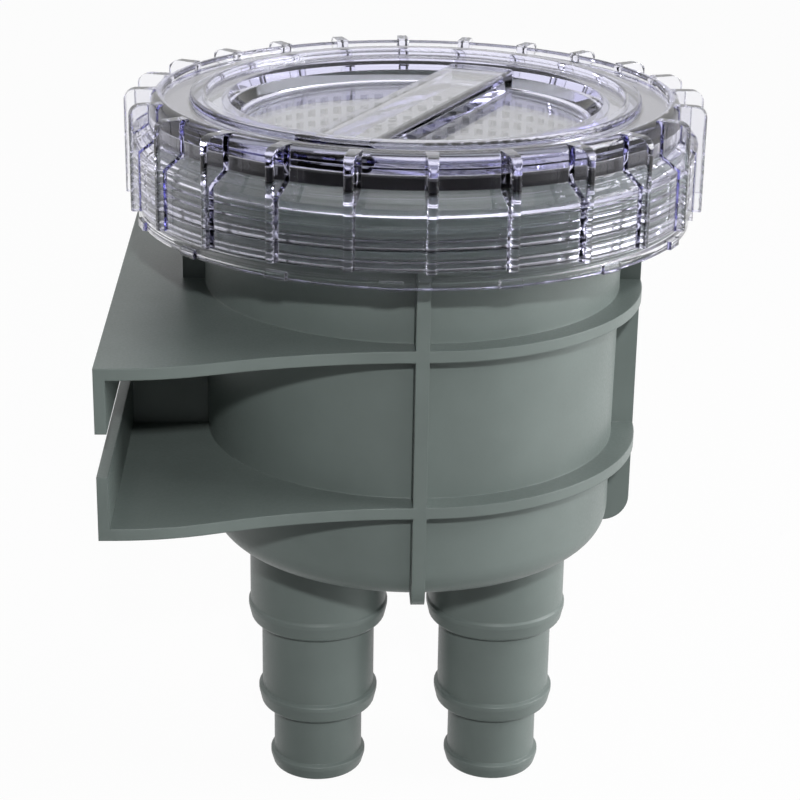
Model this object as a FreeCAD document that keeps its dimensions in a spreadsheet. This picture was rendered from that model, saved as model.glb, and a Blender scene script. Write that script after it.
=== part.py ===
import FreeCAD, Part
import os
import re
import Sketcher

# A wall-hung sea water strainer: a moulded vessel with two stepped hose tails, a basket
# that hangs in its mouth, a rubber seal and a clear screw lid with a grip bar.
#
# Frame: millimetres, +Z up. The wall is the plane X = 0 and the vessel stands off it along
# +X. The origin is the middle of the slot between the bracket's two lips.

Vector = FreeCAD.Vector

SIZES = {
    "cut_over": 1.0,                # how far every cut runs past what it opens
    # Vessel: a drafted barrel with a flat floor.
    "axis_offset": 78.0,            # wall plane to the vessel's axis
    "barrel_radius": 55.3,          # outside, under the mouth
    "barrel_draft": 0.7,            # how much narrower the barrel is at its foot
    "barrel_wall": 3.5,
    "floor_level": -48.0,           # underside of the floor
    "floor_wall": 4.0,
    "floor_edge_radius": 8.0,
    # Mouth: a rim with a seat for the basket and a threaded skirt hung outside the barrel.
    "rim_level": 62.4,
    "rim_wall": 7.7,                # between the seat's wall and the outside
    "rim_step": 1.8,                # how far the rim stands in from the thread's root
    "seat_depth": 2.5,              # rim to the basket's seat
    "web_wall": 3.5,                # under the basket's seat
    "skirt_level": 43.0,            # lower edge of the threaded skirt
    "skirt_wall": 3.2,
    "skirt_gap": 8.3,               # barrel to skirt
    "shoulder_depth": 3.9,          # rim to the top of the threaded skirt
    # Thread between vessel and lid, right-handed.
    "thread_pitch": 5.0,
    "thread_height": 2.2,
    "thread_crest": 1.2,            # width of a ridge at its crest
    "thread_flank": 0.7,            # spread of each flank
    "thread_turns": 2.4,
    "thread_gap": 0.5,              # radial gap between a crest and the wall it faces
    "thread_sink": 0.3,             # how deep a ridge is rooted in its wall
    "thread_lift": 1.7,             # skirt's lower edge to the middle of the ridge's first turn
    # Ribs and rings round the barrel.
    "rib_depth": 5.7,
    "rib_count": 4,
    "rib_width": 3.4,
    "rib_corner": 7.0,
    # Wall bracket: two flanges with lips, moulded with the vessel.
    "flange_gap": 38.0,
    "flange_wall": 3.0,
    "flange_sweep": 150.0,          # radius of the hollow edge
    "flange_turn": 28.0,            # wall plane to where the hollow edge ends
    "flange_shoulder": 72.0,        # radius of the edge's turn towards the wall
    "flange_flat": 4.0,             # straight end of the edge, next to the wall
    "flange_swell": 4.1,            # how much further out the straight end is than the turn
    "lip_wall": 2.8,
    "slot_width": 11.0,             # between the lips, for the wall bolts
    # Hose tails: a neck for each hose, with a bead below it.
    "tail_offset": 25.0,            # vessel's axis to a tail's axis
    "tail_length": 76.3,
    "small_neck": 12.5,
    "small_bead": 13.5,
    "small_height": 4.5,            # tail's tip to the top of the small bead
    "middle_neck": 15.8,
    "middle_bead": 16.8,
    "middle_height": 25.2,
    "large_neck": 19.0,
    "large_bead": 19.5,
    "large_height": 52.0,
    "bead_land": 1.2,               # straight band at a bead's top
    "bead_back": 0.5,               # height of the slope above a bead
    "bead_height": 5.2,             # a bead's top to its underside
    "bead_taper": 0.9,              # how much narrower a bead is at its foot
    "bead_crest": 0.3,              # rounding of a bead's upper edge
    "bead_round": 1.3,              # rounding of its lower edge
    "small_bore": 9.5,
    "middle_bore": 12.8,
    "large_bore": 16.0,
    "standpipe_height": 24.0,       # inlet pipe inside the vessel, above the floor
    # Basket.
    "basket_space": 2.9,            # barrel's inside to the basket
    "basket_draft": 1.3,
    "basket_wall": 1.8,
    "basket_clearance": 10.0,       # vessel's floor to the basket's floor
    "basket_corner": 2.5,
    "basket_flange": 2.0,
    "basket_play": 0.4,             # gap to the seat's wall and round the standpipe
    "sleeve_height": 12.0,
    "slot_length": 9.0,
    "slot_span": 3.6,
    "slot_rows": 5,
    "slot_columns": 24,
    "slot_pitch": 17.0,
    "slot_drop": 4.0,               # seat to the top row of slots
    # Seal.
    "seal_play": 0.3,               # above, below and beside the seal
    "seal_thickness": 3.9,
    "seal_round": 0.6,
    "seal_inset": 1.0,              # seat's wall to the guide inside the seal
    # Lid: a plate with two finger wells, a grip bar between them and a finned collar.
    "lid_play": 0.4,                # basket's flange to the lid's floor
    "plate_wall": 4.0,
    "guide_wall": 3.3,              # lip under the plate, inside the seal
    "guide_depth": 2.9,
    "ridge_width": 4.3,
    "ridge_height": 1.7,
    "ridge_round": 0.8,
    "border_width": 5.5,            # ridge to the well's rim
    "edge_width": 3.0,              # raised edge round the plate, as high as the ridge
    "edge_round": 0.5,
    "well_depth": 5.6,
    "well_floor": 3.0,
    "well_wall": 1.5,               # well's rim to the back of its wall
    "well_slope": 3.5,              # how much narrower the well is at its foot
    "well_fillet": 2.0,
    "collar_play": 0.5,             # rim to the collar
    "collar_wall": 2.7,
    "collar_corner": 2.2,
    "collar_skirt_wall": 3.5,       # outside the thread
    "collar_drop": 25.4,            # plate's top to the lower end of the fins
    "flare_top": 7.2,               # below the plate's top
    "flare_bottom": 10.5,
    "hem_wall": 2.5,                # the lid's lower edge, below the fins
    "hem_drop": 30.1,               # plate's top to the lid's lower edge
    "stop_count": 16,
    "stop_width": 5.6,
    "stop_height": 2.1,
    "stop_rise": 1.0,
    "stop_turn": -7.3,              # degrees, a stop's place from the first fin
    "fin_count": 24,
    "fin_depth": 2.3,               # beyond the collar's skirt
    "fin_root_width": 3.3,
    "fin_tip_width": 2.4,
    "fin_rise": 1.8,                # above the plate
    "fin_corner": 3.2,
    "fin_nose": 0.9,
    "fin_turn": 0.7,                # degrees, first fin from the front of the vessel
    "bar_width": 19.0,
    "bar_drop": 1.1,                # below the plate's top
    "bar_draft": 1.0,
    "bar_round": 1.2,
    "bar_sink": 1.0,                # how deep the bar is rooted in the well's floor
    "bar_wall": 2.8,
    "bar_end": 3.0,                 # end of the bar's hollow to the well's foot
    "bar_angle": -25.4,             # degrees, the bar's turn from the front to back line
}

# Levels and radii that more than one piece uses, worked out from the sizes.
DERIVED = {
    "foot_radius": "barrel_radius - barrel_draft",
    "floor_top": "floor_level + floor_wall",
    "skirt_bore": "barrel_radius + skirt_gap",
    "thread_root": "skirt_bore + skirt_wall",
    "thread_base": "thread_crest + 2 * thread_flank",
    "thread_start": "skirt_level + thread_lift",
    "rim_radius": "thread_root - rim_step",
    "seat_radius": "rim_radius - rim_wall",
    "seat_level": "rim_level - seat_depth",
    "web_level": "seat_level - web_wall",
    "shoulder_level": "rim_level - shoulder_depth",
    "rib_reach": "barrel_radius + rib_depth",
    "flange_bottom": "flange_gap / 2",
    "flange_top": "flange_bottom + flange_wall",
    "turn_half": "rib_reach + flange_sweep - sqrt(flange_sweep^2 - (axis_offset - flange_turn)^2)",
    "flange_half": "turn_half + flange_swell",
    "tip_level": "floor_level - tail_length",
    "small_level": "tip_level + small_height",
    "middle_level": "tip_level + middle_height",
    "large_level": "tip_level + large_height",
    "standpipe_level": "floor_top + standpipe_height",
    "basket_radius": "barrel_radius - barrel_wall - basket_space",
    "basket_foot": "basket_radius - basket_draft",
    "basket_level": "floor_top + basket_clearance",
    "basket_top": "seat_level + basket_flange",
    "basket_reach": "seat_radius - basket_play",
    "sleeve_bore": "large_neck + basket_play",
    "slot_top": "seat_level - slot_drop",
    "floor_under": "basket_top + lid_play",
    "well_level": "floor_under + well_floor",
    "plate_level": "well_level + well_depth",
    "plate_under": "plate_level - plate_wall",
    "ridge_level": "plate_level + ridge_height",
    "ridge_outer": "seat_radius + seal_inset",
    "ridge_inner": "ridge_outer - ridge_width",
    "guide_inner": "ridge_outer - guide_wall",
    "well_radius": "ridge_inner - border_width",
    "well_foot": "well_radius - well_slope",
    "collar_bore": "rim_radius + collar_play",
    "collar_radius": "collar_bore + collar_wall",
    "edge_inner": "collar_radius - edge_width",
    "collar_foot": "plate_level - collar_drop",
    "lid_bore": "thread_root + thread_height + thread_gap",
    "lid_foot": "plate_level - hem_drop",
    "flare_radius": "lid_bore + collar_skirt_wall",
    "flare_top_level": "plate_level - flare_top",
    "flare_bottom_level": "plate_level - flare_bottom",
    "hem_radius": "lid_bore + hem_wall",
    "seal_bottom": "rim_level + seal_play",
    "seal_top": "seal_bottom + seal_thickness",
    "seal_bore": "ridge_outer + seal_play",
    "seal_reach": "collar_bore - seal_play",
    "fin_start": "collar_radius - collar_wall / 2",
    "fin_reach": "flare_radius + fin_depth",
    "fin_top": "plate_level + fin_rise",
    "bar_level": "plate_level - bar_drop",
    "bar_half": "bar_width / 2",
}

doc = FreeCAD.newDocument("sea_water_strainer")
sheet = doc.addObject("Spreadsheet::Sheet", "sizes")


def bind(text):
    """An expression in the sizes' own names, with each name turned into its cell."""
    return re.sub(r"[A-Za-z_]+", lambda word: word[0] if word[0] in ("sqrt", "tan", "cos", "sin")
                  else "sizes." + word[0], text)


def fill_sheet():
    row = 0
    for name, size in SIZES.items():
        row += 1
        sheet.set(f"A{row}", name)
        sheet.set(f"B{row}", str(size))
        sheet.setAlias(f"B{row}", name)
    doc.recompute()
    for name, formula in DERIVED.items():
        row += 1
        sheet.set(f"A{row}", name)
        sheet.set(f"B{row}", "=" + re.sub(r"sizes\.", "", bind(formula)))
        sheet.setAlias(f"B{row}", name)
        doc.recompute()


def value(text):
    """The number that an expression in the sizes stands for now."""
    result = sheet.evalExpression(bind(str(text)))
    return float(getattr(result, "Value", result))


def plane_of(body, role):
    return [part for part in body.Origin.OriginFeatures if part.Role == role][0]


def new_body(name):
    """A body that stands on the vessel's axis."""
    body = doc.addObject("PartDesign::Body", name)
    body.setExpression("Placement.Base.x", "sizes.axis_offset")
    return body


def new_sketch(body, name, role, shift=None, lift=None, turn=None):
    """A sketch on one of the body's planes, shifted along it, lifted off it or turned about Z."""
    sketch = body.newObject("Sketcher::SketchObject", name)
    sketch.AttachmentSupport = [(plane_of(body, role), "")]
    sketch.MapMode = "FlatFace"
    if turn:
        axis = Vector(0, 0, 1) if role == "XY_Plane" else Vector(0, 1, 0)
        sketch.AttachmentOffset = FreeCAD.Placement(Vector(), FreeCAD.Rotation(axis, value(turn)))
        sketch.setExpression("AttachmentOffset.Rotation.Angle", bind(turn))
    if shift:
        sketch.setExpression("AttachmentOffset.Base.x", bind(shift))
    if lift:
        sketch.setExpression("AttachmentOffset.Base.z", bind(lift))
    return sketch


def bound(sketch, kind, targets, text):
    """A dimension of the sketch, driven by an expression in the sizes."""
    index = sketch.addConstraint(Sketcher.Constraint(kind, *targets, value(text)))
    sketch.setExpression(f"Constraints[{index}]", bind(text))


def arc_through(start, end, radius, side):
    """An arc between two points that bulges to the left (1) or the right (-1) of the way."""
    chord = end - start
    half = chord.Length / 2
    across = Vector(-chord.y, chord.x, 0).normalize() * side
    height = radius - (radius ** 2 - half ** 2) ** 0.5
    return Part.Arc(start, (start + end) / 2 + across * height, end)


def outline(sketch, corners):
    """Close a line round the corners. A corner is (x, y), or (x, y, radius) when it is rounded;
    ("arc", radius, side) between two corners makes the edge between them an arc."""
    points = []
    bows = {}
    for corner in corners:
        if corner[0] == "arc":
            bows[len(points) - 1] = corner
        else:
            points.append(corner)
    count = len(points)
    spots = [Vector(value(point[0]), value(point[1]), 0) for point in points]
    ends = []
    for place, point in enumerate(points):
        spot = spots[place]
        if len(point) == 2:
            ends.append((spot, spot))
            continue
        before = (spots[place - 1] - spot).normalize()
        after = (spots[(place + 1) % count] - spot).normalize()
        reach = value(point[2]) * ((1 + before.dot(after)) / (1 - before.dot(after))) ** 0.5
        ends.append((spot + before * reach, spot + after * reach))
    pieces = []
    for place, point in enumerate(points):
        if len(point) == 3:
            before = spots[place] - spots[place - 1]
            after = spots[(place + 1) % count] - spots[place]
            side = 1 if before.cross(after).z < 0 else -1
            curve = arc_through(ends[place][0], ends[place][1], value(point[2]), side)
            pieces.append((sketch.addGeometry(curve), side, place))
        start = ends[place][1]
        end = ends[(place + 1) % count][0]
        if place in bows:
            side = bows[place][2]
            curve = arc_through(start, end, value(bows[place][1]), side)
            pieces.append((sketch.addGeometry(curve), side, None))
        else:
            pieces.append((sketch.addGeometry(Part.LineSegment(start, end)), 0, None))
    join(sketch, pieces)
    edges = [piece for piece in pieces if piece[2] is None]
    for place, point in enumerate(points):
        edge = edges[place]
        if len(point) == 2:
            bound(sketch, "DistanceX", (edge[0], first_end(edge)), point[0])
            bound(sketch, "DistanceY", (edge[0], first_end(edge)), point[1])
        else:
            mark = sketch.addGeometry(Part.Point(spots[place]), True)
            sketch.addConstraint(Sketcher.Constraint("PointOnObject", mark, 1, edges[place - 1][0]))
            sketch.addConstraint(Sketcher.Constraint("PointOnObject", mark, 1, edge[0]))
            bound(sketch, "DistanceX", (mark, 1), point[0])
            bound(sketch, "DistanceY", (mark, 1), point[1])
        if place in bows:
            bound(sketch, "Radius", (edge[0],), bows[place][1])
    for piece in pieces:
        if piece[2] is not None:
            bound(sketch, "Radius", (piece[0],), points[piece[2]][2])
    return sketch


def first_end(piece):
    """Arcs are kept anticlockwise, so one that bulges left of the way is passed backwards."""
    return 2 if piece[1] == 1 else 1


def last_end(piece):
    return 1 if piece[1] == 1 else 2


def join(sketch, pieces):
    """Join each piece to the next; a rounded corner meets its neighbours smoothly."""
    for place, piece in enumerate(pieces):
        following = pieces[(place + 1) % len(pieces)]
        smooth = piece[2] is not None or following[2] is not None
        kind = "Tangent" if smooth else "Coincident"
        sketch.addConstraint(Sketcher.Constraint(kind, piece[0], last_end(piece),
                                                 following[0], first_end(following)))


def disc(sketch, radius):
    circle = sketch.addGeometry(Part.Circle(Vector(), Vector(0, 0, 1), value(radius)))
    sketch.addConstraint(Sketcher.Constraint("Coincident", circle, 3, -1, 1))
    bound(sketch, "Radius", (circle,), radius)
    return sketch


def turned(body, kind, name, sketch):
    """A Revolution or a Groove about the sketch's own upright axis."""
    feature = body.newObject("PartDesign::" + kind, name)
    feature.Profile = sketch
    feature.ReferenceAxis = (sketch, ["V_Axis"])
    feature.Angle = 360
    body.Tip = feature
    return feature


def pushed(body, kind, name, sketch, length, both_ways=False, reverse=False):
    """A Pad or a Pocket."""
    feature = body.newObject("PartDesign::" + kind, name)
    feature.Profile = sketch
    feature.setExpression("Length", bind(length))
    feature.SideType = "Symmetric" if both_ways else "One side"
    feature.Reversed = reverse
    body.Tip = feature
    return feature


def repeated(body, name, feature, count):
    """The feature repeated round the vessel's axis."""
    pattern = body.newObject("PartDesign::PolarPattern", name)
    pattern.Originals = [feature]
    pattern.Axis = (plane_of(body, "Z_Axis"), [""])
    pattern.Angle = 360
    pattern.setExpression("Occurrences", bind(count))
    body.Tip = pattern
    return pattern


def ridge(body, name, sketch):
    """A right-handed thread ridge swept from its section."""
    helix = body.newObject("PartDesign::AdditiveHelix", name)
    helix.Profile = sketch
    helix.ReferenceAxis = (sketch, ["V_Axis"])
    helix.Mode = "pitch-turns-angle"
    helix.setExpression("Pitch", "sizes.thread_pitch")
    helix.setExpression("Turns", "sizes.thread_turns")
    helix.LeftHanded = False
    body.Tip = helix
    return helix


def tail(body, side, shift):
    """One stepped hose tail: three necks, each with a bead below it."""
    corners = [("0", "tip_level")]
    for name, below, foot in (("small", None, "tip_level"),
                              ("middle", "small", "middle_level - bead_height"),
                              ("large", "middle", "large_level - bead_height")):
        if below:
            corners.append((f"{below}_neck", foot))
        corners.append((f"{name}_bead - bead_taper", foot, "bead_round"))
        corners.append((f"{name}_bead", f"{name}_level - bead_land"))
        corners.append((f"{name}_bead", f"{name}_level", "bead_crest"))
        corners.append((f"{name}_neck", f"{name}_level + bead_back"))
    corners.append(("large_neck", "floor_level + floor_wall / 2"))
    corners.append(("0", "floor_level + floor_wall / 2"))
    sketch = outline(new_sketch(body, side + "_tail_outline", "XZ_Plane", shift=shift), corners)
    return turned(body, "Revolution", side + "_tail", sketch)


def tail_bore(body, side, shift, top):
    """The stepped bore of one hose tail, open to the vessel at the given level."""
    corners = [("0", "tip_level - cut_over"), ("small_bore", "tip_level - cut_over")]
    for name, below in (("middle", "small"), ("large", "middle")):
        corners.append((below + "_bore", f"{name}_level - bead_height"))
        corners.append((name + "_bore", f"{name}_level"))
    corners.append(("large_bore", top))
    corners.append(("0", top))
    sketch = outline(new_sketch(body, side + "_bore_outline", "XZ_Plane", shift=shift), corners)
    return turned(body, "Groove", side + "_bore", sketch)


def bracket(body):
    """Two flanges round the barrel with lips on the wall, and the web between them."""
    corners = [
        ("0", "-rib_reach"), ("arc", "rib_reach", -1), ("rib_reach", "0"),
        ("arc", "rib_reach", -1), ("0", "rib_reach"), ("arc", "flange_sweep", 1),
        ("flange_turn - axis_offset", "turn_half"), ("arc", "flange_shoulder", -1),
        ("flange_flat - axis_offset", "flange_half"), ("-axis_offset", "flange_half"),
        ("-axis_offset", "-flange_half"), ("flange_flat - axis_offset", "-flange_half"),
        ("arc", "flange_shoulder", -1), ("flange_turn - axis_offset", "-turn_half"),
        ("arc", "flange_sweep", 1),
    ]
    lip = [
        ("-axis_offset", "-flange_half"), ("lip_wall - axis_offset", "-flange_half"),
        ("lip_wall - axis_offset", "flange_half"), ("-axis_offset", "flange_half"),
    ]
    for side, sign, reverse in (("upper", "", False), ("lower", "-", True)):
        sketch = new_sketch(body, side + "_flange_outline", "XY_Plane", lift=sign + "flange_bottom")
        pushed(body, "Pad", side + "_flange", outline(sketch, corners), "flange_wall", reverse=reverse)
        sketch = new_sketch(body, side + "_lip_outline", "XY_Plane", lift=sign + "slot_width / 2")
        height = "flange_top - slot_width / 2"
        pushed(body, "Pad", side + "_lip", outline(sketch, lip), height, reverse=reverse)
    web = [
        ("lip_wall - axis_offset", "-flange_bottom"), ("barrel_wall - barrel_radius", "-flange_bottom"),
        ("barrel_wall - barrel_radius", "flange_bottom"), ("lip_wall - axis_offset", "flange_bottom"),
    ]
    sketch = outline(new_sketch(body, "web_outline", "XZ_Plane"), web)
    return pushed(body, "Pad", "web", sketch, "rib_width", both_ways=True)


def build_housing():
    body = new_body("housing")
    shell = [
        ("0", "floor_level"), ("foot_radius", "floor_level", "floor_edge_radius"),
        ("barrel_radius", "web_level"), ("skirt_bore", "web_level"), ("skirt_bore", "skirt_level"),
        ("thread_root", "skirt_level"), ("thread_root", "shoulder_level"),
        ("rim_radius", "shoulder_level + thread_root - rim_radius"), ("rim_radius", "rim_level"),
        ("0", "rim_level"),
    ]
    turned(body, "Revolution", "shell", outline(new_sketch(body, "shell_outline", "XZ_Plane"), shell))
    rib = [
        ("foot_radius - floor_edge_radius", "floor_level"), ("rib_reach", "floor_level", "rib_corner"),
        ("rib_reach", "web_level"), ("foot_radius - floor_edge_radius", "web_level"),
    ]
    sketch = outline(new_sketch(body, "rib_outline", "XZ_Plane"), rib)
    first = pushed(body, "Pad", "rib", sketch, "rib_width", both_ways=True)
    repeated(body, "ribs", first, "rib_count")
    bracket(body)
    tail(body, "inlet", "-tail_offset")
    tail(body, "outlet", "tail_offset")
    inside = [
        ("0", "floor_top"), ("foot_radius - barrel_wall", "floor_top", "floor_edge_radius / 2"),
        ("barrel_radius - barrel_wall", "seat_level"), ("seat_radius", "seat_level"),
        ("seat_radius", "rim_level + cut_over"), ("0", "rim_level + cut_over"),
    ]
    turned(body, "Groove", "inside", outline(new_sketch(body, "inside_outline", "XZ_Plane"), inside))
    sketch = new_sketch(body, "standpipe_outline", "XY_Plane", shift="-tail_offset",
                        lift="floor_top - floor_wall / 2")
    height = "standpipe_height + floor_wall / 2"
    pushed(body, "Pad", "standpipe", disc(sketch, "large_neck"), height)
    tail_bore(body, "inlet", "-tail_offset", "standpipe_level + cut_over")
    tail_bore(body, "outlet", "tail_offset", "floor_top + cut_over")
    section = [
        ("thread_root - thread_sink", "thread_start - thread_base / 2"),
        ("thread_root", "thread_start - thread_base / 2"),
        ("thread_root + thread_height", "thread_start - thread_crest / 2"),
        ("thread_root + thread_height", "thread_start + thread_crest / 2"),
        ("thread_root", "thread_start + thread_base / 2"),
        ("thread_root - thread_sink", "thread_start + thread_base / 2"),
    ]
    ridge(body, "housing_thread", outline(new_sketch(body, "housing_ridge", "XZ_Plane"), section))
    return body


def build_basket():
    body = new_body("strainer_basket")
    wall = [
        ("0", "basket_level"), ("basket_foot", "basket_level", "basket_corner"),
        ("basket_radius", "seat_level"), ("basket_reach", "seat_level"),
        ("basket_reach", "basket_top"), ("basket_radius - basket_wall", "basket_top"),
        ("basket_foot - basket_wall", "basket_level + basket_wall"),
        ("0", "basket_level + basket_wall"),
    ]
    turned(body, "Revolution", "basket_shell",
           outline(new_sketch(body, "basket_outline", "XZ_Plane"), wall))
    sketch = new_sketch(body, "sleeve_outline", "XY_Plane", shift="-tail_offset", lift="basket_level")
    pushed(body, "Pad", "sleeve", disc(sketch, "sleeve_bore + basket_wall"), "sleeve_height")
    sketch = new_sketch(body, "sleeve_bore_outline", "XY_Plane", shift="-tail_offset",
                        lift="basket_level - cut_over")
    depth = "sleeve_height + 2 * cut_over"
    pushed(body, "Pocket", "sleeve_hole", disc(sketch, "sleeve_bore"), depth, reverse=True)
    slot = [
        ("-slot_span / 2", "slot_top - slot_length"), ("slot_span / 2", "slot_top - slot_length"),
        ("slot_span / 2", "slot_top"), ("-slot_span / 2", "slot_top"),
    ]
    sketch = new_sketch(body, "slot_outline", "YZ_Plane", lift="basket_foot - 2 * basket_wall")
    cut = pushed(body, "Pocket", "slot", outline(sketch, slot), "4 * basket_wall", reverse=True)
    rows = body.newObject("PartDesign::LinearPattern", "slot_rows_pattern")
    rows.Direction = (plane_of(body, "Z_Axis"), [""])
    rows.Reversed = True
    rows.setExpression("Length", bind("slot_pitch * (slot_rows - 1)"))
    rows.setExpression("Occurrences", "sizes.slot_rows")
    columns = body.newObject("PartDesign::PolarPattern", "slot_columns_pattern")
    columns.Axis = (plane_of(body, "Z_Axis"), [""])
    columns.Angle = 360
    columns.setExpression("Occurrences", "sizes.slot_columns")
    grid = body.newObject("PartDesign::MultiTransform", "slots")
    grid.Originals = [cut]
    grid.Transformations = [rows, columns]
    body.Tip = grid
    return body


def build_seal():
    body = new_body("lid_seal")
    ring = [
        ("seal_bore", "seal_bottom", "seal_round"), ("seal_reach", "seal_bottom", "seal_round"),
        ("seal_reach", "seal_top", "seal_round"), ("seal_bore", "seal_top", "seal_round"),
    ]
    turned(body, "Revolution", "seal_ring", outline(new_sketch(body, "seal_outline", "XZ_Plane"), ring))
    return body


def build_lid():
    body = new_body("screw_lid")
    cover = [
        ("0", "lid_foot"), ("hem_radius", "lid_foot"), ("hem_radius", "collar_foot"),
        ("flare_radius", "collar_foot"), ("flare_radius", "flare_bottom_level"),
        ("collar_radius", "flare_top_level"), ("collar_radius", "ridge_level", "collar_corner"),
        ("edge_inner", "ridge_level", "edge_round"), ("edge_inner", "plate_level"),
        ("ridge_outer", "plate_level"), ("ridge_outer", "ridge_level", "ridge_round"),
        ("ridge_inner", "ridge_level", "ridge_round"), ("ridge_inner", "plate_level"),
        ("well_radius", "plate_level"), ("well_foot", "well_level", "well_fillet"),
        ("0", "well_level"),
    ]
    turned(body, "Revolution", "cover", outline(new_sketch(body, "cover_outline", "XZ_Plane"), cover))
    fin = [
        ("fin_start", "-fin_root_width / 2"), ("fin_reach", "-fin_tip_width / 2", "fin_nose"),
        ("fin_reach", "fin_tip_width / 2", "fin_nose"), ("fin_start", "fin_root_width / 2"),
    ]
    sketch = new_sketch(body, "fin_outline", "XY_Plane", lift="collar_foot", turn="fin_turn - 90")
    first = pushed(body, "Pad", "fin", outline(sketch, fin), "fin_top - collar_foot")
    repeated(body, "fins", first, "fin_count")
    corner = [
        ("fin_reach - fin_corner", "fin_top"), ("arc", "fin_corner", 1),
        ("fin_reach", "fin_top - fin_corner"), ("fin_reach + cut_over", "fin_top - fin_corner"),
        ("fin_reach + cut_over", "fin_top + cut_over"), ("fin_reach - fin_corner", "fin_top + cut_over"),
    ]
    turned(body, "Groove", "fin_corners",
           outline(new_sketch(body, "corner_outline", "XZ_Plane"), corner))
    stop = [
        ("lid_bore", "-stop_width / 2"), ("hem_radius + stop_rise", "-stop_width / 2"),
        ("hem_radius + stop_rise", "stop_width / 2"), ("lid_bore", "stop_width / 2"),
    ]
    sketch = new_sketch(body, "stop_outline", "XY_Plane", lift="lid_foot",
                        turn="fin_turn + stop_turn - 90")
    first = pushed(body, "Pad", "stop", outline(sketch, stop), "stop_height")
    repeated(body, "stops", first, "stop_count")
    bar = [
        ("-bar_half - bar_draft", "well_level - bar_sink"), ("bar_half + bar_draft", "well_level - bar_sink"),
        ("bar_half", "bar_level", "bar_round"), ("-bar_half", "bar_level", "bar_round"),
    ]
    sketch = new_sketch(body, "bar_outline", "XZ_Plane", turn="bar_angle")
    pushed(body, "Pad", "bar", outline(sketch, bar), "2 * well_radius", both_ways=True)
    hollow = [
        ("0", "lid_foot - cut_over"), ("lid_bore", "lid_foot - cut_over"),
        ("lid_bore", "flare_bottom_level - collar_wall"),
        ("collar_bore", "flare_top_level - collar_wall / 2"), ("collar_bore", "plate_under"),
        ("ridge_outer", "plate_under"), ("ridge_outer", "plate_under - guide_depth"),
        ("guide_inner", "plate_under - guide_depth"), ("guide_inner", "plate_under"),
        ("well_radius + well_wall", "plate_under"), ("well_radius + well_wall", "floor_under"),
        ("0", "floor_under"),
    ]
    turned(body, "Groove", "hollow", outline(new_sketch(body, "hollow_outline", "XZ_Plane"), hollow))
    channel = [
        ("bar_wall - bar_half", "bar_end - well_foot"), ("bar_half - bar_wall", "bar_end - well_foot"),
        ("bar_half - bar_wall", "well_foot - bar_end"), ("bar_wall - bar_half", "well_foot - bar_end"),
    ]
    sketch = new_sketch(body, "channel_outline", "XY_Plane", lift="floor_under - cut_over", turn="bar_angle")
    depth = "bar_level - bar_wall - floor_under + cut_over"
    pushed(body, "Pocket", "channel", outline(sketch, channel), depth, reverse=True)
    section = [
        ("lid_bore + thread_sink", "thread_start - thread_pitch / 2 + thread_base / 2"),
        ("lid_bore", "thread_start - thread_pitch / 2 + thread_base / 2"),
        ("thread_root + thread_gap", "thread_start - thread_pitch / 2 + thread_crest / 2"),
        ("thread_root + thread_gap", "thread_start - thread_pitch / 2 - thread_crest / 2"),
        ("lid_bore", "thread_start - thread_pitch / 2 - thread_base / 2"),
        ("lid_bore + thread_sink", "thread_start - thread_pitch / 2 - thread_base / 2"),
    ]
    ridge(body, "lid_thread", outline(new_sketch(body, "lid_ridge", "XZ_Plane"), section))
    return body


def check_and_export(bodies):
    doc.recompute()
    for item in doc.Objects:
        if "Invalid" in item.State or "Error" in item.State:
            raise RuntimeError(f"{item.Name} did not build: {item.State}")
    os.makedirs("parts", exist_ok=True)
    for body in bodies:
        shape = body.Shape
        if shape.isNull() or not shape.isValid():
            raise RuntimeError(f"{body.Name} has no valid shape")
        if len(shape.Solids) != 1:
            raise RuntimeError(f"{body.Name} has {len(shape.Solids)} solids")
        shape.exportStep(f"parts/{body.Label}.step")
        box = shape.BoundBox
        print(body.Label, round(shape.Volume), [round(number, 2) for number in (
            box.XMin, box.XMax, box.YMin, box.YMax, box.ZMin, box.ZMax)])


fill_sheet()
check_and_export([build_housing(), build_basket(), build_seal(), build_lid()])
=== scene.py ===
import math

import bmesh
import bpy
from bpy.props import FloatProperty, FloatVectorProperty, IntProperty, PointerProperty
from mathutils import Matrix, Vector


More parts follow.
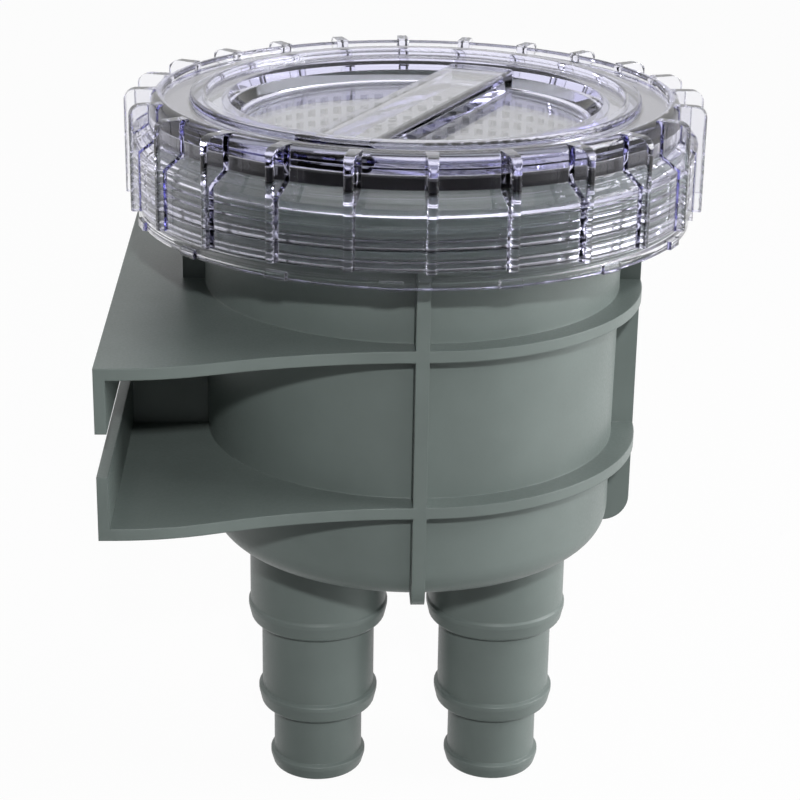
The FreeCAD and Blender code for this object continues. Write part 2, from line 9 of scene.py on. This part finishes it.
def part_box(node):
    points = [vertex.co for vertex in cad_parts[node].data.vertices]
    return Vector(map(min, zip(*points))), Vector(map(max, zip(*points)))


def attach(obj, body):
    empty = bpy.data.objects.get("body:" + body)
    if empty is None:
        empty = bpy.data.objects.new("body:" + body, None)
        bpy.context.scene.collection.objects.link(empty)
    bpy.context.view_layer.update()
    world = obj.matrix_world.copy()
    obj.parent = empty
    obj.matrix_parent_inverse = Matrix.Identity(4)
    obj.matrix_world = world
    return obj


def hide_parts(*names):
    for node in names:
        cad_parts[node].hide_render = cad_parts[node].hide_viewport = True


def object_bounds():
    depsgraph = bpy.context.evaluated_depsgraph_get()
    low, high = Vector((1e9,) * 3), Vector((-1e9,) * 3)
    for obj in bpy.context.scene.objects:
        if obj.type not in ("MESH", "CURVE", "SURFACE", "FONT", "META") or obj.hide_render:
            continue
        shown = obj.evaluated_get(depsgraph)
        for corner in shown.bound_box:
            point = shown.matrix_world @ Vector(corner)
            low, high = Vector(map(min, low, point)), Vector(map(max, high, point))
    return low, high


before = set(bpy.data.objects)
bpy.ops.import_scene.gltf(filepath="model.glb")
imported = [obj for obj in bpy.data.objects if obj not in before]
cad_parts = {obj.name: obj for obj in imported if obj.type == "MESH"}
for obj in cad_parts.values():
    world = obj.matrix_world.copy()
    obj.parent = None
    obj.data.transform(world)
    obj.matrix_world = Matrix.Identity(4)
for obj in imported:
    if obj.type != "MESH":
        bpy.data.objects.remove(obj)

bl_info = {
    "name": "Sea water strainer",
    "version": (1, 0, 0),
    "blender": (4, 5, 0),
    "location": "View3D > Sidebar > Strainer",
    "description": "Dresses a wall-hung sea water strainer with a clear screw lid",
    "category": "Object",
}

CAD_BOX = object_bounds()
MM = 0.001

BASKET_LOW, BASKET_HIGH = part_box("strainer_basket")
AXIS = Vector(((BASKET_LOW.x + BASKET_HIGH.x) / 2, (BASKET_LOW.y + BASKET_HIGH.y) / 2, 0))

# The thread inside the lid's collar: its pitch, and the walls and height that it lies between.
THREAD_PITCH = 5 * MM
THREAD_ROOT = 65.7 * MM
THREAD_REACH = 69.8 * MM
THREAD_TOP = 61.5 * MM
THREAD_DEPTH = 0.34 * MM

PLASTIC_IOR = 1.49
LIP_ROUNDING = 0.4 * MM
CORNER_STEPS = 5
SLEEVE_SIDES = 96

WHITE = (1, 1, 1, 1)
FLOOR_TONE = (0.6, 0.6, 0.6, 1)
FLOOR_HALF = 3.0
FLOOR_GLOW = 0.965
DARKEST_TONE = 0.03

# Each lamp's place and the width of its square, in metres.
KEY_LAMP = ((0.12, -1.1, 0.63), 0.05)
SIDE_LAMP = ((1.0, -0.1, 0.32), 0.6)
TOP_LAMP = ((0.1, 0.2, 1.0), 0.8)

# The room's bright side, and how far round from it the tones end and begin.
LIGHT_TONES = ((0.45, 0.65, 0.6), -0.5, 0.35)
MIRRORED_TONES = ((0.15, 0.75, 0.65), -0.7, -0.15)


def length(name, size, description):
    return FloatProperty(name=name, description=description, default=size,
                         unit="LENGTH", subtype="DISTANCE")


def colour(name, tone, description):
    return FloatVectorProperty(name=name, description=description, default=tone, subtype="COLOR",
                               min=0, max=1, size=3)


class BasketSizes(bpy.types.PropertyGroup):
    """Sizes of the moulded basket that hangs in the vessel's mouth."""

    wall_radius: length("Wall radius", 48.9 * MM, "Outside of the wall, under the flange")
    foot_radius: length("Foot radius", 47.6 * MM, "Outside of the wall, above the floor's corner")
    wall: length("Wall", 1.8 * MM, "Thickness of the wall and the floor")
    corner: length("Corner", 2.5 * MM, "Rounding of the floor's outer edge")
    flange: length("Flange", 2.0 * MM, "Thickness of the flange that rests on the seat")
    columns: IntProperty(name="Columns", description="Holes in one row", default=72, min=12, max=90)
    hole_width: length("Hole width", 2.6 * MM, "Width of a hole, round the wall")
    hole_height: length("Hole height", 1.95 * MM, "Height of a hole")
    row_pitch: length("Row pitch", 3.0 * MM, "From one row of holes to the next")
    first_row: length("First row", 1.2 * MM, "Flange to the top of the first row of holes")
    last_row: length("Last row", 5.0 * MM, "Floor's underside to the lowest row of holes")
    pipe_offset: length("Pipe offset", 25.0 * MM, "Vessel's axis to the inlet pipe in the basket")
    sleeve_bore: length("Sleeve bore", 19.4 * MM, "Inner radius of the sleeve round the inlet pipe")
    sleeve_height: length("Sleeve height", 12.0 * MM, "Height of the sleeve above the basket's underside")


class Finishes(bpy.types.PropertyGroup):
    """Colours of the strainer's plastics and rubber, and how its edges catch the light."""

    vessel: colour("Vessel", (0.128, 0.155, 0.146), "Grey-green of the moulded vessel")
    basket: colour("Basket", (0.60, 0.62, 0.62), "Pale grey of the basket")
    seal: colour("Seal", (0.012, 0.012, 0.014), "Black of the rubber seal")
    lid_tint: colour("Lid tint", (0.66, 0.65, 0.95), "What the clear plastic lets through")
    lid_depth: FloatProperty(name="Lid depth", description="How strongly thick clear plastic is tinted",
                             default=36.0, min=0)
    edge: length("Edge", 0.45 * MM, "Rounding of the vessel's and the lid's edges, in shading only")


class Studio(bpy.types.PropertyGroup):
    """Camera, lamps and floor."""

    lens: FloatProperty(name="Lens", description="Focal length in millimetres", default=96.68, min=10)
    camera_place: FloatVectorProperty(name="Camera place", description="Where the camera stands",
                                      default=(0.0521, -0.5484, 0.1921), subtype="TRANSLATION")
    heading: FloatProperty(name="Heading", description="Turn of the view to the right", default=0.0421,
                           subtype="ANGLE")
    pitch: FloatProperty(name="Pitch", description="How far the view looks down", default=0.358,
                         subtype="ANGLE")
    roll: FloatProperty(name="Roll", description="Tilt of the camera", default=0.016, subtype="ANGLE")
    key_power: FloatProperty(name="Key lamp", description="Watts of the small lamp above the camera",
                             default=9.8, min=0)
    side_power: FloatProperty(name="Side lamp", description="Watts of the wide lamp on the right",
                              default=11.0, min=0)
    top_power: FloatProperty(name="Top lamp", description="Watts of the wide lamp overhead", default=1.5,
                             min=0)
    room: FloatProperty(name="Room light", description="Strength of the light from all round",
                        default=0.2, min=0)
    floor_gap: length("Floor gap", 0.5 * MM, "Tails' tips to the floor")


# Materials


def node_material(name):
    """A new node material with its shader and a coordinate node that stays with the piece."""
    material = bpy.data.materials.new(name)
    material.use_nodes = True
    nodes = material.node_tree.nodes
    shader = nodes["Principled BSDF"]
    place = nodes.new("ShaderNodeTexCoord")
    return material, shader, place.outputs["Object"]


def noise(material, place, scale, detail, roughness=0.5):
    """Cloudy noise from 0 to 1; scale is how many clouds fit in a metre."""
    node = material.node_tree.nodes.new("ShaderNodeTexNoise")
    node.inputs["Scale"].default_value = scale
    node.inputs["Detail"].default_value = detail
    node.inputs["Roughness"].default_value = roughness
    material.node_tree.links.new(place, node.inputs["Vector"])
    return node.outputs["Fac"]


def ramp(material, factor, stops):
    """A colour ramp over a factor; each stop is (position, colour)."""
    node = material.node_tree.nodes.new("ShaderNodeValToRGB")
    points = node.color_ramp.elements
    while len(points) < len(stops):
        points.new(0.5)
    for point, (position, tone) in zip(points, stops):
        point.position = position
        point.color = (*tone, 1)
    material.node_tree.links.new(factor, node.inputs["Fac"])
    return node.outputs["Color"]


def spread(material, factor, low, high):
    """The factor stretched to run from low to high."""
    node = material.node_tree.nodes.new("ShaderNodeMapRange")
    node.inputs["From Min"].default_value = 0.3
    node.inputs["From Max"].default_value = 0.7
    node.inputs["To Min"].default_value = low
    node.inputs["To Max"].default_value = high
    material.node_tree.links.new(factor, node.inputs["Value"])
    return node.outputs["Result"]


def rounded_edges(material, radius):
    """A normal that makes sharp edges catch the light as if they were rounded."""
    node = material.node_tree.nodes.new("ShaderNodeBevel")
    node.samples = 4
    node.inputs["Radius"].default_value = radius
    return node.outputs["Normal"]


def bump(material, shader, layers, last=None):
    """Bumps laid one on the other; each layer is (height, depth in metres, strength).

    last is the normal that the first layer starts from.
    """
    links = material.node_tree.links
    for height, depth, strength in layers:
        node = material.node_tree.nodes.new("ShaderNodeBump")
        node.inputs["Distance"].default_value = depth
        node.inputs["Strength"].default_value = strength
        links.new(height, node.inputs["Height"])
        if last is not None:
            links.new(last, node.inputs["Normal"])
        last = node.outputs["Normal"]
    links.new(last, shader.inputs["Normal"])


def tone_of(base, factor):
    """The base colour made darker or lighter."""
    return tuple(min(1, channel * factor) for channel in base)


def moulded_plastic(name, base, roughness, grain_depth, edge=0):
    """Opaque moulded plastic: faint clouding, a fine grain, a slight waviness and rounded edges."""
    material, shader, place = node_material(name)
    links = material.node_tree.links
    cloud = noise(material, place, 45, 4, 0.6)
    tones = [(0.3, tone_of(base, 0.93)), (0.5, base), (0.72, tone_of(base, 1.07))]
    links.new(ramp(material, cloud, tones), shader.inputs["Base Color"])
    fine = noise(material, place, 1500, 3)
    links.new(spread(material, fine, roughness - 0.05, roughness + 0.06), shader.inputs["Roughness"])
    wave = noise(material, place, 60, 2)
    last = rounded_edges(material, edge) if edge else None
    bump(material, shader, [(wave, 0.25 * MM, 0.25), (fine, grain_depth, 0.5)], last)
    shader.inputs["IOR"].default_value = PLASTIC_IOR
    return material


def maths(tree, operation, *values):
    """One sum on numbers or on other nodes' outputs."""
    node = tree.nodes.new("ShaderNodeMath")
    node.operation = operation
    for socket, entry in zip(node.inputs, values):
        if isinstance(entry, (int, float)):
            socket.default_value = entry
        else:
            tree.links.new(entry, socket)
    return node.outputs[0]


def thread_waves(tree, place):
    """Rounded crests and roots of the thread, on the inside of the lid's collar only."""
    parts = tree.nodes.new("ShaderNodeSeparateXYZ")
    tree.links.new(place, parts.inputs[0])
    across = maths(tree, "SUBTRACT", parts.outputs["X"], AXIS.x)
    squares = maths(tree, "ADD", maths(tree, "POWER", across, 2), maths(tree, "POWER", parts.outputs["Y"], 2))
    radius = maths(tree, "SQRT", squares)
    turn = maths(tree, "ARCTAN2", parts.outputs["Y"], across)
    rise = maths(tree, "MULTIPLY", parts.outputs["Z"], 2 * math.pi / THREAD_PITCH)
    phase = maths(tree, "SUBTRACT", rise, turn)
    wave = maths(tree, "POWER", maths(tree, "ABSOLUTE", maths(tree, "SINE", phase)), 3)
    inside = maths(tree, "LESS_THAN", radius, THREAD_REACH)
    outside = maths(tree, "GREATER_THAN", radius, THREAD_ROOT)
    below = maths(tree, "LESS_THAN", parts.outputs["Z"], THREAD_TOP)
    mask = maths(tree, "MULTIPLY", maths(tree, "MULTIPLY", inside, outside), below)
    return maths(tree, "MULTIPLY", wave, mask)


def clear_plastic(name, tint, depth, edge):
    """Clear polished plastic that takes on a tint where the light goes a long way through it."""
    material, shader, place = node_material(name)
    shader.inputs["Base Color"].default_value = WHITE
    shader.inputs["Transmission Weight"].default_value = 1
    shader.inputs["Roughness"].default_value = 0.02
    shader.inputs["IOR"].default_value = PLASTIC_IOR
    ripple = noise(material, place, 140, 2)
    waves = thread_waves(material.node_tree, place)
    layers = [(ripple, 0.05 * MM, 0.3), (waves, THREAD_DEPTH, 1.0)]
    bump(material, shader, layers, rounded_edges(material, edge))
    nodes = material.node_tree.nodes
    inside = nodes.new("ShaderNodeVolumeAbsorption")
    inside.inputs["Color"].default_value = (*tint, 1)
    inside.inputs["Density"].default_value = depth
    material.node_tree.links.new(inside.outputs["Volume"], nodes["Material Output"].inputs["Volume"])
    return material


def finish(piece, material):
    """Give a piece one material all over."""
    piece.data.materials.clear()
    piece.data.materials.append(material)


def new_piece(name, mesh_maker):
    """A piece whose mesh the given function fills in, with its faces turned outwards."""
    mesh = bpy.data.meshes.new(name)
    shape = bmesh.new()
    mesh_maker(shape)
    bmesh.ops.recalc_face_normals(shape, faces=shape.faces)
    shape.to_mesh(mesh)
    shape.free()
    piece = bpy.data.objects.new(name, mesh)
    bpy.context.scene.collection.objects.link(piece)
    return piece


# Basket


def ring(shape, radius, level, angles, centre=AXIS):
    """A level ring of corners round a centre."""
    return [shape.verts.new((centre.x + radius * math.cos(angle), centre.y + radius * math.sin(angle), level))
            for angle in angles]


def band(shape, lower, upper, skip=None):
    """Quads between two rings; skip says which places round them stay open."""
    count = len(lower)
    for place in range(count):
        if skip and skip(place):
            continue
        after = (place + 1) % count
        shape.faces.new((lower[place], lower[after], upper[after], upper[place]))


def basket_mesh(shape, sizes):
    """The whole basket: a tapered wall with rows of holes, its flange, its floor and the sleeve."""
    top = BASKET_HIGH.z
    bottom = BASKET_LOW.z
    seat = top - sizes.flange
    step = 2 * math.pi / sizes.columns
    half = sizes.hole_width / sizes.wall_radius / 2
    angles = []
    for column in range(sizes.columns):
        angles += [column * step - half, column * step + half]
    levels = [bottom + sizes.corner]
    level = bottom + sizes.last_row
    rows = int((seat - sizes.first_row - level) / sizes.row_pitch)
    first = seat - sizes.first_row - rows * sizes.row_pitch
    for row in range(rows):
        hole_top = first + row * sizes.row_pitch + sizes.row_pitch
        levels += [hole_top - sizes.hole_height, hole_top]
    levels.append(seat)

    def radius_at(height):
        share = (height - bottom) / (seat - bottom)
        return sizes.foot_radius + (sizes.wall_radius - sizes.foot_radius) * share

    outer = [ring(shape, radius_at(height), height, angles) for height in levels]
    inner = [ring(shape, radius_at(height) - sizes.wall, height, angles) for height in levels]
    for place in range(len(levels) - 1):
        has_holes = place % 2 == 1
        skip = (lambda spot: spot % 2 == 0) if has_holes else None
        band(shape, outer[place], outer[place + 1], skip)
        band(shape, inner[place + 1], inner[place], skip)
        if has_holes:
            for spot in range(0, len(angles), 2):
                hole_sides(shape, outer, inner, place, spot)
    basket_flange(shape, sizes, angles, outer[-1], inner[-1])
    basket_floor(shape, sizes, angles, outer[0], inner[0])
    sleeve(shape, sizes, bottom)


def hole_sides(shape, outer, inner, place, spot):
    """The four walls of one hole, from the outside of the basket's wall to its inside."""
    after = spot + 1
    corners = [(place, spot), (place, after), (place + 1, after), (place + 1, spot)]
    for near, far in zip(corners, corners[1:] + corners[:1]):
        shape.faces.new((outer[near[0]][near[1]], inner[near[0]][near[1]],
                         inner[far[0]][far[1]], outer[far[0]][far[1]]))


def basket_flange(shape, sizes, angles, outer, inner):
    """The flange that rests on the vessel's seat, from the wall's outside over to its inside."""
    top = BASKET_HIGH.z
    seat = top - sizes.flange
    reach = (BASKET_HIGH.x - BASKET_LOW.x) / 2
    mouth = sizes.wall_radius - sizes.wall
    rim = [(reach - LIP_ROUNDING, seat), (reach, seat + LIP_ROUNDING), (reach, top - LIP_ROUNDING),
           (reach - LIP_ROUNDING, top), (mouth + LIP_ROUNDING, top), (mouth, top - LIP_ROUNDING)]
    last = outer
    for radius, level in rim:
        following = ring(shape, radius, level, angles)
        band(shape, last, following)
        last = following
    band(shape, last, inner)


def basket_floor(shape, sizes, angles, outer, inner):
    """The floor with its rounded corner, open where the inlet pipe comes through."""
    bottom = BASKET_LOW.z
    centre = sizes.foot_radius - sizes.corner
    last = outer
    for step in range(1, CORNER_STEPS + 1):
        turn = step / CORNER_STEPS * math.pi / 2
        following = ring(shape, centre + sizes.corner * math.cos(turn),
                         bottom + sizes.corner - sizes.corner * math.sin(turn), angles)
        band(shape, last, following)
        last = following
    pipe_hole(shape, sizes, last, bottom)
    floor_edge = ring(shape, centre, bottom + sizes.wall, angles)
    band(shape, inner, floor_edge)
    pipe_hole(shape, sizes, floor_edge, bottom + sizes.wall)


def pipe_axis(sizes):
    """The middle of the inlet pipe."""
    return AXIS - Vector((sizes.pipe_offset, 0, 0))


def even_angles(count):
    return [2 * math.pi * place / count for place in range(count)]


def pipe_hole(shape, sizes, edge, level):
    """One face of the floor, from its edge in to the round hole for the inlet pipe."""
    hole = ring(shape, sizes.sleeve_bore, level, even_angles(len(edge)), pipe_axis(sizes))
    band(shape, edge, hole)


def sleeve(shape, sizes, bottom):
    """The short tube that stands round the inlet pipe."""
    angles = even_angles(SLEEVE_SIDES)
    pipe = pipe_axis(sizes)
    outside = sizes.sleeve_bore + sizes.wall
    height = bottom + sizes.sleeve_height
    profile = [(sizes.sleeve_bore, bottom), (outside, bottom), (outside, height - LIP_ROUNDING),
               (outside - LIP_ROUNDING, height), (sizes.sleeve_bore + LIP_ROUNDING, height),
               (sizes.sleeve_bore, height - LIP_ROUNDING)]
    rings = [ring(shape, radius, level, angles, pipe) for radius, level in profile]
    for near, far in zip(rings, rings[1:] + rings[:1]):
        band(shape, near, far)


# Operators


class OBJECT_OT_strainer_vessel(bpy.types.Operator):
    """Give the vessel its grey-green plastic and round its moulded edges"""

    bl_idname = "object.strainer_vessel"
    bl_label = "Vessel"

    def execute(self, context):
        finishes = context.scene.strainer_finishes
        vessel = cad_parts["housing"]
        tone = tuple(finishes.vessel)
        material = moulded_plastic("vessel_plastic", tone, 0.42, 0.02 * MM, finishes.edge)
        finish(vessel, material)
        return {"FINISHED"}


class OBJECT_OT_strainer_basket(bpy.types.Operator):
    """Build the basket with its rows of fine holes"""

    bl_idname = "object.strainer_basket"
    bl_label = "Basket"

    def execute(self, context):
        sizes = context.scene.strainer_basket
        basket = new_piece("perforated_basket", lambda shape: basket_mesh(shape, sizes))
        tone = tuple(context.scene.strainer_finishes.basket)
        finish(basket, moulded_plastic("basket_plastic", tone, 0.4, 0.01 * MM))
        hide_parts("strainer_basket")
        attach(basket, "vessel")
        return {"FINISHED"}


class OBJECT_OT_strainer_seal(bpy.types.Operator):
    """Give the seal its black rubber"""

    bl_idname = "object.strainer_seal"
    bl_label = "Seal"

    def execute(self, context):
        tone = tuple(context.scene.strainer_finishes.seal)
        finish(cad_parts["lid_seal"], moulded_plastic("seal_rubber", tone, 0.35, 0.01 * MM))
        return {"FINISHED"}


class OBJECT_OT_strainer_lid(bpy.types.Operator):
    """Give the lid its clear plastic"""

    bl_idname = "object.strainer_lid"
    bl_label = "Screw lid"

    def execute(self, context):
        finishes = context.scene.strainer_finishes
        tint = tuple(finishes.lid_tint)
        material = clear_plastic("clear_plastic", tint, finishes.lid_depth, finishes.edge)
        finish(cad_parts["screw_lid"], material)
        return {"FINISHED"}


def lamp(name, stand, power):
    """A square lamp turned to the vessel's axis; stand is its place and its width."""
    place, width = stand
    aim = Vector((AXIS.x, AXIS.y, 0.0))
    light = bpy.data.lights.new(name, "AREA")
    light.shape = "SQUARE"
    light.size = width
    light.energy = power
    holder = bpy.data.objects.new(name, light)
    bpy.context.scene.collection.objects.link(holder)
    holder.location = place
    holder.rotation_euler = (aim - Vector(place)).to_track_quat("-Z", "Y").to_euler()


def room_tones(tree, bright_side, darkest, brightest):
    """The room's brightness by direction, from nearly dark in front to 1 towards the bright side."""
    place = tree.nodes.new("ShaderNodeTexCoord")
    dot = tree.nodes.new("ShaderNodeVectorMath")
    dot.operation = "DOT_PRODUCT"
    dot.inputs[1].default_value = Vector(bright_side).normalized()
    tree.links.new(place.outputs["Generated"], dot.inputs[0])
    share = tree.nodes.new("ShaderNodeMapRange")
    share.inputs["From Min"].default_value = darkest
    share.inputs["From Max"].default_value = brightest
    share.inputs["To Min"].default_value = DARKEST_TONE
    tree.links.new(dot.outputs["Value"], share.inputs["Value"])
    return share.outputs["Result"]


def mix_by(tree, share, rest, seen, target):
    """Send a mix of two shaders to a target: seen where the share is 1, rest where it is 0."""
    mix = tree.nodes.new("ShaderNodeMixShader")
    tree.links.new(share, mix.inputs["Fac"])
    tree.links.new(rest.outputs[0], mix.inputs[1])
    tree.links.new(seen.outputs[0], mix.inputs[2])
    tree.links.new(mix.outputs[0], target.inputs["Surface"])


def white_room(context, strength):
    """A room that is white to look at, lights the strainer softly and shows its tones in gloss and glass."""
    world = bpy.data.worlds.new("room")
    context.scene.world = world
    world.use_nodes = True
    tree = world.node_tree
    tones = room_tones(tree, *LIGHT_TONES)
    mirrored_tones = room_tones(tree, *MIRRORED_TONES)
    path = tree.nodes.new("ShaderNodeLightPath")
    lighting = tree.nodes["Background"]
    lighting.inputs["Color"].default_value = WHITE
    mirrored = maths(tree, "MAXIMUM", path.outputs["Is Glossy Ray"], path.outputs["Is Transmission Ray"])
    level = tree.nodes.new("ShaderNodeMix")
    tree.links.new(mirrored, level.inputs["Factor"])
    tree.links.new(maths(tree, "MULTIPLY", tones, strength), level.inputs["A"])
    tree.links.new(mirrored_tones, level.inputs["B"])
    tree.links.new(level.outputs["Result"], lighting.inputs["Strength"])
    seen = tree.nodes.new("ShaderNodeBackground")
    seen.inputs["Color"].default_value = WHITE
    seen.inputs["Strength"].default_value = 1
    mix_by(tree, path.outputs["Is Camera Ray"], lighting, seen, tree.nodes["World Output"])


def white_floor(level):
    """A floor that looks white to the camera, apart from a faint shadow."""
    half = FLOOR_HALF
    corners = [(-half, -half), (half, -half), (half, half), (-half, half)]
    mesh = bpy.data.meshes.new("floor")
    mesh.from_pydata([(x, y, level) for x, y in corners], [], [(0, 1, 2, 3)])
    floor = bpy.data.objects.new("floor", mesh)
    bpy.context.scene.collection.objects.link(floor)
    material, shader, _place = node_material("white_floor")
    shader.inputs["Base Color"].default_value = FLOOR_TONE
    shader.inputs["Roughness"].default_value = 0.9
    shader.inputs["Specular IOR Level"].default_value = 0.2
    tree = material.node_tree
    glow = tree.nodes.new("ShaderNodeEmission")
    glow.inputs["Strength"].default_value = 1
    path = tree.nodes.new("ShaderNodeLightPath")
    share = maths(tree, "MULTIPLY", path.outputs["Is Camera Ray"], FLOOR_GLOW)
    mix_by(tree, share, shader, glow, tree.nodes["Material Output"])
    finish(floor, material)
    floor.visible_glossy = False
    floor.visible_transmission = False


class OBJECT_OT_strainer_stage(bpy.types.Operator):
    """Set up the camera, the lamps and the white floor"""

    bl_idname = "object.strainer_stage"
    bl_label = "Stage"

    def execute(self, context):
        studio = context.scene.strainer_studio
        camera = bpy.data.objects.new("camera", bpy.data.cameras.new("camera"))
        context.scene.collection.objects.link(camera)
        camera.data.lens = studio.lens
        camera.data.sensor_width = 36
        camera.data.clip_end = 20
        heading = Matrix.Rotation(-studio.heading, 4, "Z")
        pitch = Matrix.Rotation(math.pi / 2 - studio.pitch, 4, "X")
        roll = Matrix.Rotation(studio.roll, 4, "Z")
        camera.matrix_world = Matrix.Translation(studio.camera_place) @ (heading @ pitch @ roll)
        context.scene.camera = camera
        context.scene.view_settings.view_transform = "Standard"
        lamp("key_lamp", KEY_LAMP, studio.key_power)
        lamp("side_lamp", SIDE_LAMP, studio.side_power)
        lamp("top_lamp", TOP_LAMP, studio.top_power)
        white_room(context, studio.room)
        white_floor(CAD_BOX[0][2] - studio.floor_gap)
        return {"FINISHED"}


class VIEW3D_PT_strainer(bpy.types.Panel):
    """The strainer's pieces"""

    bl_idname = "VIEW3D_PT_strainer"
    bl_label = "Sea water strainer"
    bl_space_type = "VIEW_3D"
    bl_region_type = "UI"
    bl_category = "Strainer"

    def draw(self, context):
        for operator in OPERATORS:
            self.layout.operator(operator.bl_idname)


OPERATORS = (OBJECT_OT_strainer_stage, OBJECT_OT_strainer_vessel, OBJECT_OT_strainer_basket,
             OBJECT_OT_strainer_seal, OBJECT_OT_strainer_lid)
CLASSES = (BasketSizes, Finishes, Studio) + OPERATORS + (VIEW3D_PT_strainer,)


def register():
    for entry in CLASSES:
        bpy.utils.register_class(entry)
    bpy.types.Scene.strainer_basket = PointerProperty(type=BasketSizes)
    bpy.types.Scene.strainer_finishes = PointerProperty(type=Finishes)
    bpy.types.Scene.strainer_studio = PointerProperty(type=Studio)


def unregister():
    del bpy.types.Scene.strainer_studio
    del bpy.types.Scene.strainer_finishes
    del bpy.types.Scene.strainer_basket
    for entry in reversed(CLASSES):
        bpy.utils.unregister_class(entry)


def main():
    """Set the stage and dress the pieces."""
    register()
    for operator in OPERATORS:
        group, name = operator.bl_idname.split(".")
        getattr(getattr(bpy.ops, group), name)()


if __name__ == "__main__":
    main()
